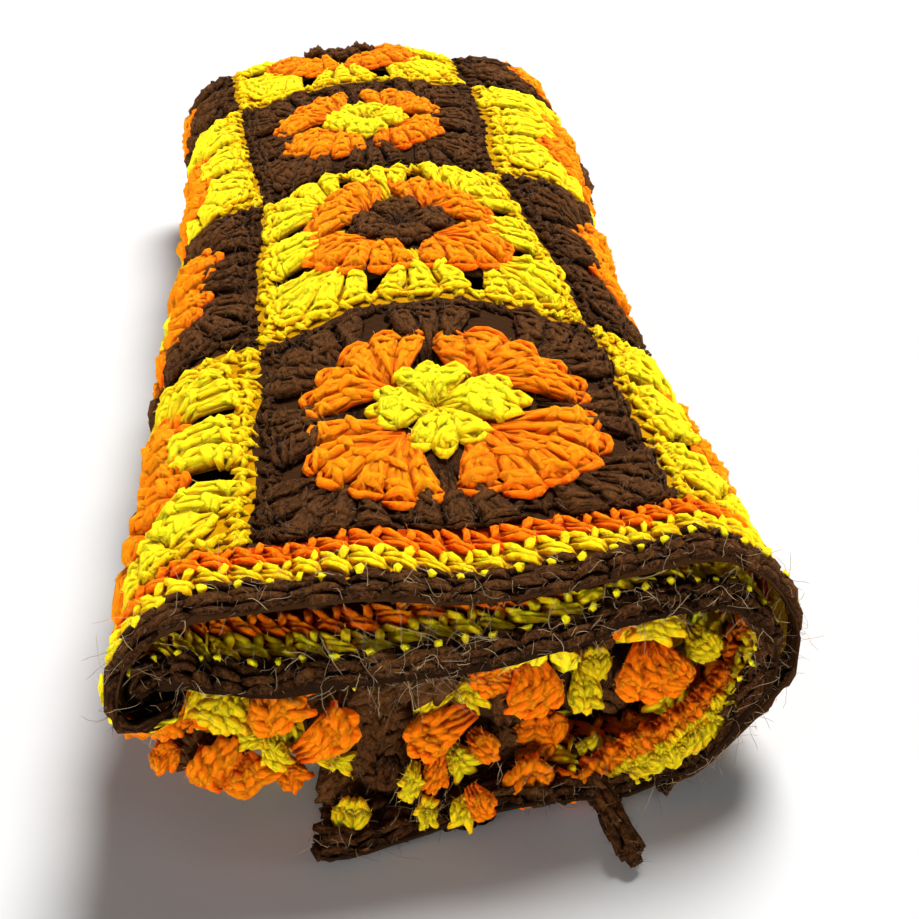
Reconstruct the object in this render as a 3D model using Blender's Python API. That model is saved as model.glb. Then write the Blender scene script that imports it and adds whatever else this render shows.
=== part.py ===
# A crocheted granny square blanket, doubled over at its far end and rolled up.
# The roll lies along Y on a flat surface at Z = 0, its open end towards -Y.
# Sizes below are in millimetres; the model is made in metres.

import math

import bmesh
import bpy
import numpy as np

MM = 0.001

# The blanket laid flat
SQUARE = 120.0  # side of one granny square, seam to seam
SQUARES_ROUND = 6  # squares across the blanket, wound round the roll
SQUARES_LONG = 7  # squares along the blanket, doubled over
EDGING = 27.0  # three crocheted rows round the edge
CLOTH = 3.5  # thickness of the crochet
SEAM_GAP = 1.6  # between the squares and the edging
WIDTH = SQUARES_ROUND * SQUARE + 2 * EDGING
LENGTH = SQUARES_LONG * SQUARE + 2 * EDGING

# How its two halves lie on each other
LAYER_STEP = 5.2  # from the middle of one half to the middle of the other
TURN_IN_RADIUS = 4.95  # of the doubled cloth where the open end turns inwards
SLIP = 51.2  # how far the outer half's side edge lags behind the inner half's
HALF_RUN = (LENGTH - math.pi * LAYER_STEP / 2) / 2  # from the open end to the far fold
ORIGIN = (-1.7, 180.4)  # the middle of the roll's outline, seen from above

# The winding seen from the open end, from the loose flap inwards: each row is a
# straight run, then a bend (radius, angle; positive angles turn towards the inside).
START = (-38.0, 4.35)
WINDING = (
    # name, straight, radius, angle
    ("under pass and right side", 98.0, 31.9, 180.0),
    ("top and left shoulder", 127.2, 26.2, 125.0),
    ("left underside", 12.0, 30.0, 55.0),
    ("climb over the flap", 0.0, 30.0, 33.2),
    ("onto the under pass", 0.0, 30.0, -33.2),
    ("second under pass, inner right bend", 74.4, 16.0, 180.0),
    ("second top pass", 53.0, 0.0, 0.0),
    ("where it opens out", 32.0, 0.0, 0.0),
    ("its left end, inner left bend", 28.0, 8.2, 180.0),
    ("core end", 106.0, 0.0, 0.0),
)

# What the open end and the far end do along the winding.
#   at: place along the winding, inward: how much cloth is turned in at the open end,
#   outer, inner: where the open end of each half lies, far: where the far fold lies,
#   outer dip, inner dip: how far the open end of each half sags into the roll
ENDS = (
    # at, inward, outer, inner, far, outer dip, inner dip
    (0.0, 0.0, -60.0, -46.0, 412.0, 0.0, 0.0),
    (36.0, 0.0, -60.0, -38.0, 412.0, 0.0, 0.0),
    (51.0, 0.0, -60.0, -39.0, 412.0, 0.0, 0.0),
    (60.0, 0.0, -47.0, -40.0, 412.0, 0.0, 0.0),
    (72.0, 0.0, -38.0, -38.0, 412.0, 0.0, 0.0),
    (98.0, 0.0, -33.0, -36.0, 412.0, 0.0, 0.0),
    (150.0, 0.0, -28.0, -31.0, 413.0, 0.0, 2.0),
    (180.0, 0.0, -27.0, -31.0, 414.0, 0.0, 5.0),
    (198.0, 0.0, -27.0, -31.0, 415.0, 0.5, 6.5),
    (220.0, 0.0, -27.0, -31.0, 416.0, 1.5, 4.8),
    (238.0, 0.0, -27.0, -31.5, 417.0, 4.0, 5.0),
    (258.0, 0.0, -27.0, -32.0, 417.0, 5.5, 8.6),
    (290.0, 0.0, -27.0, -33.0, 416.0, 0.5, 9.0),
    (310.0, 0.0, -27.0, -33.0, 416.0, 0.0, 12.0),
    (330.0, 0.0, -28.0, -33.0, 415.0, 0.0, 10.0),
    (346.0, 0.0, -29.0, -33.0, 414.0, 0.0, 5.0),
    (362.0, 8.0, -31.0, -32.0, 412.0, 0.0, 1.0),
    (380.0, 22.0, -30.0, -30.0, 411.0, 0.0, 0.0),
    (402.0, 42.0, -29.0, -29.0, 408.0, 0.0, 0.0),
    (420.0, 46.0, -26.0, -26.0, 405.0, 0.0, 0.0),
    (434.0, 46.0, -20.0, -20.0, 402.0, 0.0, 0.0),
    (455.0, 46.0, 1.0, 1.0, 400.0, 0.0, 0.0),
    (475.0, 46.0, -25.0, -25.0, 400.0, 0.0, 0.0),
    (490.0, 50.0, -31.0, -31.0, 400.0, 0.0, 0.0),
    (510.0, 50.0, -27.0, -27.0, 400.0, 0.0, 0.0),
    (530.0, 46.0, -12.0, -12.0, 400.0, 0.0, 0.0),
    (586.0, 46.0, -12.0, -12.0, 396.0, 0.0, 0.0),
    (609.0, 46.0, -24.0, -24.0, 396.0, 0.0, 0.0),
    (632.0, 46.0, -15.0, -15.0, 395.0, 0.0, 0.0),
    (644.0, 44.0, -9.0, -9.0, 395.0, 0.0, 0.0),
    (664.0, 35.0, -8.0, -8.0, 394.0, 1.0, 1.0),
    (676.0, 24.0, -9.0, -9.0, 393.0, 2.0, 2.0),
    (688.0, 12.0, -10.0, -10.0, 392.0, 2.0, 2.0),
    (704.0, 1.0, -8.0, -8.0, 390.0, 1.0, 1.0),
    (730.0, 0.0, 24.0, 24.0, 385.0, 0.0, 0.0),
    (775.0, 0.0, 50.0, 50.0, 380.0, 0.0, 0.0),
    (830.0, 0.0, 62.0, 62.0, 380.0, 0.0, 0.0),
)


def winding_rows():
    """Start, heading and length of every straight and bend of the winding."""
    x, z, heading, at, rows = START[0], START[1], 0.0, 0.0, []
    for _, straight, radius, angle in WINDING:
        if straight:
            rows.append((at, straight, x, z, heading, 0.0))
            x += straight * math.cos(heading)
            z += straight * math.sin(heading)
            at += straight
        if radius:
            turn = math.radians(angle)
            bend = math.copysign(1 / radius, turn)
            rows.append((at, radius * abs(turn), x, z, heading, bend))
            x += (math.sin(heading + turn) - math.sin(heading)) / bend
            z -= (math.cos(heading + turn) - math.cos(heading)) / bend
            heading += turn
            at += radius * abs(turn)
    return rows


ROWS = winding_rows()
WOUND = ROWS[-1][0] + ROWS[-1][1]


def winding(at):
    """Place and heading on the winding, for an array of places along it."""
    x, z, heading = (np.zeros_like(at) for _ in range(3))
    for i, (begin, length, x0, z0, heading0, bend) in enumerate(ROWS):
        last = i == len(ROWS) - 1
        inside = (at >= begin if i else at > -np.inf) & (last | (at < begin + length))
        along = at[inside] - begin
        turned = heading0 + bend * along
        if bend:
            x[inside] = x0 + (np.sin(turned) - math.sin(heading0)) / bend
            z[inside] = z0 - (np.cos(turned) - math.cos(heading0)) / bend
        else:
            x[inside] = x0 + along * math.cos(heading0)
            z[inside] = z0 + along * math.sin(heading0)
        heading[inside] = turned
    return x, z, heading


def smooth(value):
    value = np.clip(value, 0.0, 1.0)
    return value * value * (3 - 2 * value)


def end_column(column, at):
    """A column of ENDS at places along the winding, eased between its rows."""
    places = np.array([row[0] for row in ENDS])
    values = np.array([row[column] for row in ENDS])
    row = np.clip(np.searchsorted(places, at) - 1, 0, len(places) - 2)
    share = smooth((at - places[row]) / (places[row + 1] - places[row]))
    return values[row] + share * (values[row + 1] - values[row])


def turn_in(at, sign):
    """Where the turned-in end begins and stops bending, as distances from the edge."""
    inward = end_column(1, at)
    angle = np.minimum(inward / TURN_IN_RADIUS, math.pi)
    flat_back = np.maximum(inward - math.pi * TURN_IN_RADIUS, 0.0)
    return angle, flat_back, flat_back + (TURN_IN_RADIUS + sign * LAYER_STEP / 2) * angle


def lengthwise(at, along):
    """Place along the roll and distance outwards from the winding, for cloth that
    is at that place along the winding and that far along the blanket."""
    outer_half = along <= LENGTH / 2
    sign = np.where(outer_half, 1.0, -1.0)
    from_edge = np.where(outer_half, along, LENGTH - along)
    open_end = np.where(outer_half, end_column(2, at), end_column(3, at))
    slant = (end_column(2, at + 1.0) - end_column(2, at - 1.0)) / 2
    lean = np.sqrt(1 + slant * slant)  # keeps the layers' distance where the end runs slantwise
    far = end_column(4, at)
    dip = np.where(outer_half, end_column(5, at), end_column(6, at))

    angle, flat_back, turned_in = turn_in(at, sign)
    radius = TURN_IN_RADIUS + sign * LAYER_STEP / 2
    stretch = (far - open_end) / (HALF_RUN - turned_in)

    level = sign * LAYER_STEP / 2
    y = open_end + (from_edge - turned_in) * stretch
    out = level.copy()
    theta = np.clip(angle - (from_edge - flat_back) / radius, 0.0, math.pi)
    bend = from_edge < turned_in
    y = np.where(bend, open_end - radius * lean * np.sin(theta), y)
    out = np.where(bend, -TURN_IN_RADIUS + radius * np.cos(theta), out)
    back = bend & (from_edge < flat_back)
    y = np.where(back, open_end + flat_back - from_edge, y)

    fold = from_edge > HALF_RUN
    phi = (from_edge - HALF_RUN) / (LAYER_STEP / 2)
    y = np.where(fold, far + LAYER_STEP / 2 * np.sin(phi), y)
    out = np.where(fold, level * np.cos(phi), out)
    out = out - dip * smooth((45.0 - y) / 75.0)

    # Past the outer half's side edge the inner half drops onto the surface.
    dropped = smooth((SLIP - 3.0 - at) / 24.0) * np.where(outer_half, 0.0, 1.0)
    return y, out + dropped * LAYER_STEP


def side_start(along):
    """Where the blanket's side edge lies on the winding: the inner half runs askew."""
    return SLIP * np.clip(2 * (1 - along / LENGTH), 0.0, 1.0)


def cloth(across, along):
    """The middle of the cloth in the roll, for places across and along the blanket."""
    at = side_start(along) + across
    x, z, heading = winding(at)
    y, out = lengthwise(at, along)
    x = x + out * np.sin(heading)
    z = z - out * np.cos(heading)
    # The two loose corners at the open end are drawn sideways.
    corner = smooth((-14.0 - y) / 34.0) * smooth((70.0 - across) / 60.0) * smooth((14.0 - z) / 6.0)
    x = x + corner * np.where(along < LENGTH / 2, 20.0, -8.0)
    return settle(x, y, z)


def settle(x, y, z):
    """The roll's unevenness: it stands higher at the far end, sags and leans a little."""
    along = smooth((y + 20.0) / 460.0)
    high = (z - CLOTH / 2) / 71.0
    z = z + (z - CLOTH / 2) * (0.1 * along + 0.015 * (np.sin(y / 62.0 + 0.6) - 0.3))
    x = x * (1.0 + 0.035 * along) + 3.0 * np.sin(y / 95.0) * high
    return x, y, z


def surface(across, along, side):
    """Points on one face of the cloth: side is 1 for the face that meets the other half."""
    step = 0.4
    here = np.stack(cloth(across, along), axis=-1)
    ahead = np.stack(cloth(across + step, along), axis=-1) - np.stack(cloth(across - step, along), axis=-1)
    up = np.stack(cloth(across, along + step), axis=-1) - np.stack(cloth(across, along - step), axis=-1)
    normal = np.cross(ahead, up)
    normal /= np.linalg.norm(normal, axis=-1, keepdims=True)
    points = here + side * CLOTH / 2 * normal
    points[..., 0] -= ORIGIN[0]
    points[..., 1] -= ORIGIN[1]
    points[..., 2] = np.maximum(points[..., 2], 0.0)
    return points * MM


def places_across():
    """Places along the winding between the edging's two sides, closer on the bends."""
    places = []
    for begin, length, _, _, _, bend in ROWS[1:-1]:
        spacing = 16.0 if begin < 400 else 10.0
        if begin > 620:
            spacing = 2.7 if length == 32.0 else 5.4
        if bend:
            spacing = 10.0 if abs(bend) < 1 / 31 else (7.0 if abs(bend) < 1 / 25 else 5.4)
        count = max(1, round(length / spacing))
        places += [begin + length * (i + 1) / count for i in range(count)]
    return np.array([ROWS[1][0]] + places)


def places_along(at, rim, band):
    """Places along the blanket at one place along the winding: the edging's rows,
    the turned-in bend, the long run and the far fold, for both halves."""
    halves = []
    for sign in (1, -1):
        _, flat_back, turned_in = turn_in(np.array([at]), sign)
        begin = max(flat_back[0], rim + 1.5)
        end = max(turned_in[0], begin + 8.0)
        places = [rim - v for v in band] + [rim]
        places += [begin + (end - begin) * i / 5 for i in range(6)]
        places += [end + (HALF_RUN - end) * share for share in (0.08, 0.26, 0.58, 1.0)]
        places += [HALF_RUN + math.pi * LAYER_STEP / 8]
        halves.append(np.array(places))
    return np.concatenate([halves[0], [LENGTH / 2], LENGTH - halves[1][::-1]])


def grid(rim, side_rows, end_rows):
    """The blanket's grid of places: rim is how far in from the edge it begins, and
    outside that the edging adds rows, at the blanket's sides and at its ends."""
    side = [rim * (1 - i / side_rows) for i in range(side_rows)]
    band = [rim * (1 - i / end_rows) for i in range(end_rows)]
    wound = places_across()
    opening, closing = places_along(wound[0], rim, band), places_along(wound[-1], rim, band)
    first = wound[0] - side_start(opening) - rim
    last = WIDTH + side_start(closing) - rim - wound[-1]
    rows = [(rim - v, opening) for v in side] + [(rim, opening)]
    rows += [(rim + first * share, opening) for share in (0.2, 0.45, 0.7)]
    for place in wound:
        along = places_along(place, rim, band)
        rows.append((place - side_start(along), along))
    rows += [(WIDTH - rim - last * share, closing) for share in (0.75, 0.5, 0.25)]
    rows += [(WIDTH - rim, closing)] + [(WIDTH - rim + v, closing) for v in reversed(side)]
    across = np.array([np.broadcast_to(row[0], opening.shape) for row in rows])
    return across, np.array([row[1] for row in rows])


def sheet(name, across, along, missing, material):
    """A closed sheet over a grid of places, without the cells that missing names."""
    rows, columns = across.shape
    faces = {(i, j) for i in range(rows - 1) for j in range(columns - 1) if not missing(i, j)}
    used = sorted({(i + a, j + b) for i, j in faces for a in (0, 1) for b in (0, 1)})
    mesh = bmesh.new()
    corner = {}
    for side in (1, -1):
        points = surface(across, along, side)
        for i, j in used:
            corner[i, j, side] = mesh.verts.new(points[i, j])
    for i, j in faces:
        ring = ((i, j), (i + 1, j), (i + 1, j + 1), (i, j + 1))
        mesh.faces.new([corner[a, b, 1] for a, b in ring])
        mesh.faces.new([corner[a, b, -1] for a, b in reversed(ring)])
        sides = (
            ((i, j), (i + 1, j), (i, j - 1)),
            ((i + 1, j), (i + 1, j + 1), (i + 1, j)),
            ((i + 1, j + 1), (i, j + 1), (i, j + 1)),
            ((i, j + 1), (i, j), (i - 1, j)),
        )
        for a, b, neighbour in sides:
            if neighbour not in faces:
                mesh.faces.new([corner[*b, 1], corner[*a, 1], corner[*a, -1], corner[*b, -1]])
    bmesh.ops.triangulate(mesh, faces=mesh.faces)
    bmesh.ops.recalc_face_normals(mesh, faces=mesh.faces)
    if mesh.calc_volume(signed=True) < 0:
        bmesh.ops.reverse_faces(mesh, faces=mesh.faces)
    data = bpy.data.meshes.new(name)
    mesh.to_mesh(data)
    mesh.free()
    data.materials.append(material)
    made = bpy.data.objects.new(name, data)
    bpy.context.scene.collection.objects.link(made)
    return made


def yarn(name, colour):
    material = bpy.data.materials.new(name)
    material.use_nodes = True
    shader = material.node_tree.nodes["Principled BSDF"]
    shader.inputs["Base Color"].default_value = (*colour, 1.0)
    shader.inputs["Roughness"].default_value = 0.92
    shader.inputs["Metallic"].default_value = 0.0
    return material


def squares():
    """The six by seven granny squares, joined into one cloth."""
    across, along = grid(EDGING + SEAM_GAP / 2, 0, 0)
    return sheet("squares", across, along, lambda i, j: False, yarn("orange_yarn", (0.9, 0.25, 0.01)))


def edging():
    """The three-row crocheted edging, one band all round the squares."""
    rim = EDGING - SEAM_GAP / 2
    side_rows, end_rows = 2, 6
    across, along = grid(rim, side_rows, end_rows)
    last_row, last_column = across.shape[0] - 1 - side_rows, across.shape[1] - 1 - end_rows

    def covered(i, j):
        return side_rows <= i < last_row and end_rows <= j < last_column

    return sheet("edging", across, along, covered, yarn("brown_yarn", (0.035, 0.018, 0.012)))


def clear_scene():
    for old in list(bpy.data.objects):
        bpy.data.objects.remove(old)


clear_scene()
squares()
edging()
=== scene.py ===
import math

import bpy
import numpy as np
from mathutils import Matrix, Vector


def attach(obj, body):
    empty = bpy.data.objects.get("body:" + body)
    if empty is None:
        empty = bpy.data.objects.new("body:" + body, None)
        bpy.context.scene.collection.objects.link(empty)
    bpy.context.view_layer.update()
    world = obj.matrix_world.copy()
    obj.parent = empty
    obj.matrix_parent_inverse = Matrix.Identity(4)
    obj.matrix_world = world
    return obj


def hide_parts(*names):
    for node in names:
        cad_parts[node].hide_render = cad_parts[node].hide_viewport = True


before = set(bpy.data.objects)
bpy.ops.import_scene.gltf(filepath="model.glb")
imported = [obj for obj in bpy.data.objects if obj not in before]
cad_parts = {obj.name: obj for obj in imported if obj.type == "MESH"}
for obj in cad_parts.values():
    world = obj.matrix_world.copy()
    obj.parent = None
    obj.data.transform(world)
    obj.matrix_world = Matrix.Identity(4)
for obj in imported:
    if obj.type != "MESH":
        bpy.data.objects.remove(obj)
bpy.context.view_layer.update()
chance = np.random.default_rng(74)
mm = 0.001

# The blanket laid flat, in millimetres
blanket = {
    "square": 120.0,
    "squaresAcross": 6,
    "squaresAlong": 7,
    "edging": 27.0,
    "cloth": 3.5,
    "lowest": 0.3,  # no yarn lies nearer the floor
}
squareSize = blanket["square"]
edgingWidth = blanket["edging"]
flatWidth = blanket["squaresAcross"] * squareSize + 2 * edgingWidth
flatLength = blanket["squaresAlong"] * squareSize + 2 * edgingWidth
outerFace, innerFace = -1, 1  # the face that shows, and the one that meets the other half

# The roll: its two halves, and its winding from the loose flap inwards
roll = {
    "layerStep": 5.2,
    "turnInRadius": 4.95,
    "slip": 51.2,
    "origin": (-1.7, 180.4),
    "start": (-38.0, 4.35),
    "winding": (  # straight, radius, angle
        (98.0, 31.9, 180.0),  # under pass and right side
        (127.2, 26.2, 125.0),  # top and left shoulder
        (12.0, 30.0, 55.0),  # left underside
        (0.0, 30.0, 33.2),  # climb over the flap
        (0.0, 30.0, -33.2),  # onto the under pass
        (74.4, 16.0, 180.0),  # second under pass and its right bend
        (53.0, 0.0, 0.0),
        (32.0, 0.0, 0.0),
        (28.0, 8.2, 180.0),  # inner left bend
        (106.0, 0.0, 0.0),  # core end
    ),
    "ends": (  # at, inward, outer, inner, far, outerDip, innerDip
        (0, 0, -60, -46, 419, 0, 0),
        (36, 0, -60, -40, 419, 0, 0),
        (51, 0, -60, -40, 419, 0, 0),
        (60, 0, -50, -40, 419, 0, 0),
        (72, 0, -40, -41, 419, 0, 0),
        (98, 0, -33, -36, 419, 0, 0),
        (150, 0, -28, -31, 420, 0, 2.0),
        (180, 0, -27, -31, 421, 0, 5.0),
        (198, 0, -27, -31, 422, 0.5, 6.5),
        (220, 0, -27, -33, 423, 1.5, 5.8),
        (238, 0, -26, -36, 424, 4.0, 8.0),
        (258, 0, -25, -37, 424, 5.5, 11.0),
        (290, 0, -25, -38, 423, 0.5, 10.5),
        (310, 0, -26, -37, 423, 0, 12.5),
        (330, 0, -27, -35, 422, 0, 10.0),
        (346, 0, -28, -32, 421, 0, 5.0),
        (356, 0, -29, -29, 420, 0, 1.0),
        (366, 14, -21, -21, 416, 0, 0),
        (378, 42, -14, -14, 411, 0, 0),
        (390, 52, -8, -8, 408, 0, 0),
        (420, 56, -4, -4, 405, 0, 0),
        (434, 58, -4, -4, 402, 0, 0),
        (455, 60, -2, -2, 400, 0, 0),
        (475, 60, -8, -8, 400, 0, 0),
        (490, 60, -12, -12, 400, 0, 0),
        (510, 60, -8, -8, 400, 0, 0),
        (530, 60, -4, -4, 400, 0, 0),
        (586, 60, -4, -4, 396, 0, 0),
        (609, 60, -10, -10, 396, 0, 0),
        (632, 60, -8, -8, 395, 0, 0),
        (644, 56, -9, -9, 395, 0, 0),
        (664, 45, -8, -8, 394, 1, 1),
        (676, 32, -9, -9, 393, 2, 2),
        (688, 12, -10, -10, 392, 2, 2),
        (704, 1, -8, -8, 390, 1, 1),
        (730, 0, 24, 24, 385, 0, 0),
        (775, 0, 50, 50, 380, 0, 0),
        (830, 0, 62, 62, 380, 0, 0),
    ),
    "slump": (  # at (along Y), leftIn, rightOut, crown, dropLeft, dropRight, bowLeft, bowRight, lift
        (-70, 1.5, -8.0, 0.0, 0.0, 0.0, 0.0, 0.0, 11.0),
        (-20, 3.5, -8.0, 1.0, 0.0, -1.0, 0.0, 3.0, 11.0),
        (50, 5.5, -9.0, 3.5, 5.0, 5.0, -7.0, -6.0, 3.0),
        (120, 5.0, -9.5, 6.0, 8.0, 8.0, -10.0, -10.0, 0.0),
        (180, 7.0, -8.0, 8.0, 9.0, 5.0, -10.0, -8.0, 0.0),
        (250, 8.5, 0.0, 10.0, 9.0, 3.0, -9.0, -6.0, 0.0),
        (320, 8.0, 9.0, 12.0, 7.5, 2.0, -7.0, 0.0, 0.0),
        (420, 2.0, 13.0, 14.0, 6.0, 5.0, 0.0, 0.0, 0.0),
    ),
    "twist": ((0, -2.0), (27, -2.0), (147, -4.5), (267, 3.5), (387, 8.0), (447, 10.0), (894, 0.0)),
    "pinch": (207.0, 267.0, 90.0, 50.0, 0.2),  # the middle, its reach across and along, and how much
    "cornerShift": (20.0, -7.0),  # of the outer and the inner half, at the flap's corner
    "crownHeight": 71.0,
    "crownHalfWidth": 97.0,
    "footIn": 7.0,  # the right side comes in, low at the front
    "fades": {  # where a change begins, and the reach it grows over, negative where it grows downwards
        "dip": (45.0, -75.0),
        "dropped": (48.2, -24.0),
        "corner": (70.0, -60.0),
        "cornerLow": (14.0, -6.0),
        "outerCorner": (-14.0, -34.0),
        "innerCorner": (12.0, -36.0),
        "onLeft": (-8.0, -50.0),
        "onRight": (12.0, 50.0),
        "outLeft": (-35.0, -55.0),
        "outRight": (35.0, 55.0),
        "liftLeft": (-38.0, -30.0),
        "liftLow": (48.0, -34.0),
        "footLow": (38.0, -30.0),
        "footFront": (40.0, -60.0),
    },
}
halfRun = (flatLength - math.pi * roll["layerStep"] / 2) / 2


def namedColumns(rows, names):
    return dict(zip(names.split(), np.array(rows, float).T))


ends = namedColumns(roll["ends"], "at inward outer inner far outerDip innerDip")
slumps = namedColumns(roll["slump"], "at leftIn rightOut crown dropLeft dropRight bowLeft bowRight lift")


def windingRows():
    # start, length, corner, heading and bend of each straight and bend
    (x, z), heading, at, rows = roll["start"], 0.0, 0.0, []
    for straight, radius, angle in roll["winding"]:
        if straight:
            rows.append((at, straight, x, z, heading, 0.0))
            x += straight * math.cos(heading)
            z += straight * math.sin(heading)
            at += straight
        if radius:
            turn = math.radians(angle)
            bend = math.copysign(1 / radius, turn)
            rows.append((at, radius * abs(turn), x, z, heading, bend))
            x += (math.sin(heading + turn) - math.sin(heading)) / bend
            z -= (math.cos(heading + turn) - math.cos(heading)) / bend
            heading += turn
            at += radius * abs(turn)
    return rows


wound = windingRows()


def winding(at):
    x, z, heading = (np.zeros_like(at) for _ in range(3))
    for i, (begin, length, x0, z0, heading0, bend) in enumerate(wound):
        last = i == len(wound) - 1
        inside = (at >= begin if i else at > -np.inf) & (last | (at < begin + length))
        along = at[inside] - begin
        turned = heading0 + bend * along
        if bend:
            x[inside] = x0 + (np.sin(turned) - math.sin(heading0)) / bend
            z[inside] = z0 - (np.cos(turned) - math.cos(heading0)) / bend
        else:
            x[inside] = x0 + along * math.cos(heading0)
            z[inside] = z0 + along * math.sin(heading0)
        heading[inside] = turned
    return x, z, heading


def smooth(value):
    value = np.clip(value, 0.0, 1.0)
    return value * value * (3 - 2 * value)


def fade(name, value):
    begin, reach = roll["fades"][name]
    return smooth((value - begin) / reach)


def between(table, name, at):
    # smooth between the rows of a table
    places, values = table["at"], table[name]
    row = np.clip(np.searchsorted(places, at) - 1, 0, len(places) - 2)
    share = smooth((at - places[row]) / (places[row + 1] - places[row]))
    return values[row] + share * (values[row + 1] - values[row])


def lengthwise(at, along):
    # place along the roll, and distance outwards from the winding
    step, bendRadius = roll["layerStep"], roll["turnInRadius"]
    outerHalf = along <= flatLength / 2
    sign = np.where(outerHalf, 1.0, -1.0)
    fromEdge = np.where(outerHalf, along, flatLength - along)
    openEnd = np.where(outerHalf, between(ends, "outer", at), between(ends, "inner", at))
    slant = (between(ends, "outer", at + 1.0) - between(ends, "outer", at - 1.0)) / 2
    lean = np.sqrt(1 + slant * slant)
    far = between(ends, "far", at)
    dip = np.where(outerHalf, between(ends, "outerDip", at), between(ends, "innerDip", at))

    # the end is turned in: flat at the back, then round the bend
    inward = between(ends, "inward", at)
    angle = np.minimum(inward / bendRadius, math.pi)
    flatBack = np.maximum(inward - math.pi * bendRadius, 0.0)
    radius = bendRadius + sign * step / 2
    turnedIn = flatBack + radius * angle
    stretch = (far - openEnd) / (halfRun - turnedIn)
    level = sign * step / 2
    y = openEnd + (fromEdge - turnedIn) * stretch
    out = level.copy()
    theta = np.clip(angle - (fromEdge - flatBack) / radius, 0.0, math.pi)
    bend = fromEdge < turnedIn
    y = np.where(bend, openEnd - radius * lean * np.sin(theta), y)
    out = np.where(bend, -bendRadius + radius * np.cos(theta), out)
    back = bend & (fromEdge < flatBack)
    y = np.where(back, openEnd + flatBack - fromEdge, y)

    # the fold at the far end
    fold = fromEdge > halfRun
    phi = (fromEdge - halfRun) / (step / 2)
    y = np.where(fold, far + step / 2 * np.sin(phi), y)
    out = np.where(fold, level * np.cos(phi), out)
    out = out - dip * fade("dip", y)
    # where the outer half doesn't reach, the inner one drops to its level
    dropped = fade("dropped", at) * np.where(outerHalf, 0.0, 1.0)
    return y, out + dropped * step


def sideStart(along):
    places, turns = np.array(roll["twist"]).T
    return roll["slip"] * np.clip(2 * (1 - along / flatLength), 0.0, 1.0) + np.interp(along, places, turns)


def cloth(across, along):
    # middle of the cloth in the roll
    middle, seamAlong, reachAcross, reachAlong, much = roll["pinch"]
    off = across - middle
    narrowed = much * off * np.exp(-((off / reachAcross) ** 2) - ((along - seamAlong) / reachAlong) ** 2)
    at = sideStart(along) + across - narrowed
    x, z, heading = winding(at)
    y, out = lengthwise(at, along)
    x = x + out * np.sin(heading)
    z = z - out * np.cos(heading)
    # the two halves part at the flap's corner
    outer, inner = roll["cornerShift"]
    shift = np.where(along < flatLength / 2, outer * fade("outerCorner", y), inner * fade("innerCorner", y))
    x = x + fade("corner", across) * fade("cornerLow", z) * shift
    # slumped sides, a rounder back, and a lifted front left underside
    leftIn, rightOut, crown, dropLeft, dropRight, bowLeft, bowRight, lift = (
        between(slumps, name, y) for name in list(slumps)[1:])
    high = np.clip((z - blanket["cloth"] / 2) / roll["crownHeight"], 0.0, 1.2)
    onLeft, onRight = fade("onLeft", x), fade("onRight", x)
    outLeft, outRight = fade("outLeft", x), fade("outRight", x)
    z = z + lift * fade("liftLeft", x) * fade("liftLow", z)
    rounded = crown * (1 - 0.5 * (x / roll["crownHalfWidth"]) ** 2)
    z = z + high * (rounded - onLeft * dropLeft - onRight * dropRight)
    footIn = roll["footIn"] * outRight * fade("footLow", z) * fade("footFront", y)
    x = x + outLeft * leftIn + outRight * rightOut - footIn
    y = y + high * (onLeft * bowLeft + onRight * bowRight)
    return np.stack([x, y, z], axis=-1)


def inRoll(flat):
    # flat is (across, along, height); height is outwards on the face that meets the other half
    across, along, height = flat[:, 0], flat[:, 1], flat[:, 2]
    step = 0.4
    here = cloth(across, along)
    ahead = cloth(across + step, along) - cloth(across - step, along)
    up = cloth(across, along + step) - cloth(across, along - step)
    normal = np.cross(ahead, up)
    normal /= np.linalg.norm(normal, axis=-1, keepdims=True) + 1e-9
    points = here + height[:, None] * normal
    points[:, :2] -= roll["origin"]
    points[:, 2] = np.maximum(points[:, 2], blanket["lowest"])
    return points * mm


# Camera, at the photograph's place
view = {
    "place": (-0.0319, -0.4196, 0.2558),
    "yaw": -7.68,
    "pitch": 34.01,
    "roll": -0.75,
    "lens": 45.14,
    "sensor": 36.0,
    "photoSize": 919.0,
}


def viewAxes():
    yaw, pitch, tilt = (math.radians(view[k]) for k in ("yaw", "pitch", "roll"))
    ahead = np.array((-math.sin(yaw) * math.cos(pitch), math.cos(yaw) * math.cos(pitch), -math.sin(pitch)))
    right = np.array((math.cos(yaw), math.sin(yaw), 0.0))
    up = np.cross(right, ahead)
    return (
        math.cos(tilt) * right + math.sin(tilt) * up,
        -math.sin(tilt) * right + math.cos(tilt) * up,
        ahead,
    )


def seenAt(spot, forward):
    # the place, in millimetres, that the photograph shows at a pixel, at a place along Y
    right, up, ahead = viewAxes()
    perPixel = view["sensor"] / view["lens"] / view["photoSize"]
    across, down = (value - view["photoSize"] / 2 for value in spot)
    ray = ahead + right * across * perPixel - up * down * perPixel
    start = np.array(view["place"]) / mm
    return start + ray * (forward - start[1]) / ray[1]


def makeCamera():
    right, up, ahead = viewAxes()
    data = bpy.data.cameras.new("camera")
    data.lens = view["lens"]
    data.sensor_width = view["sensor"]
    data.clip_start = 0.01
    made = bpy.data.objects.new("camera", data)
    turned = np.eye(4)
    turned[:3, 0], turned[:3, 1], turned[:3, 2], turned[:3, 3] = right, up, -ahead, view["place"]
    made.matrix_world = Matrix(turned.tolist())
    bpy.context.scene.collection.objects.link(made)
    bpy.context.scene.camera = made


makeCamera()
print("camera set")


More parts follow.
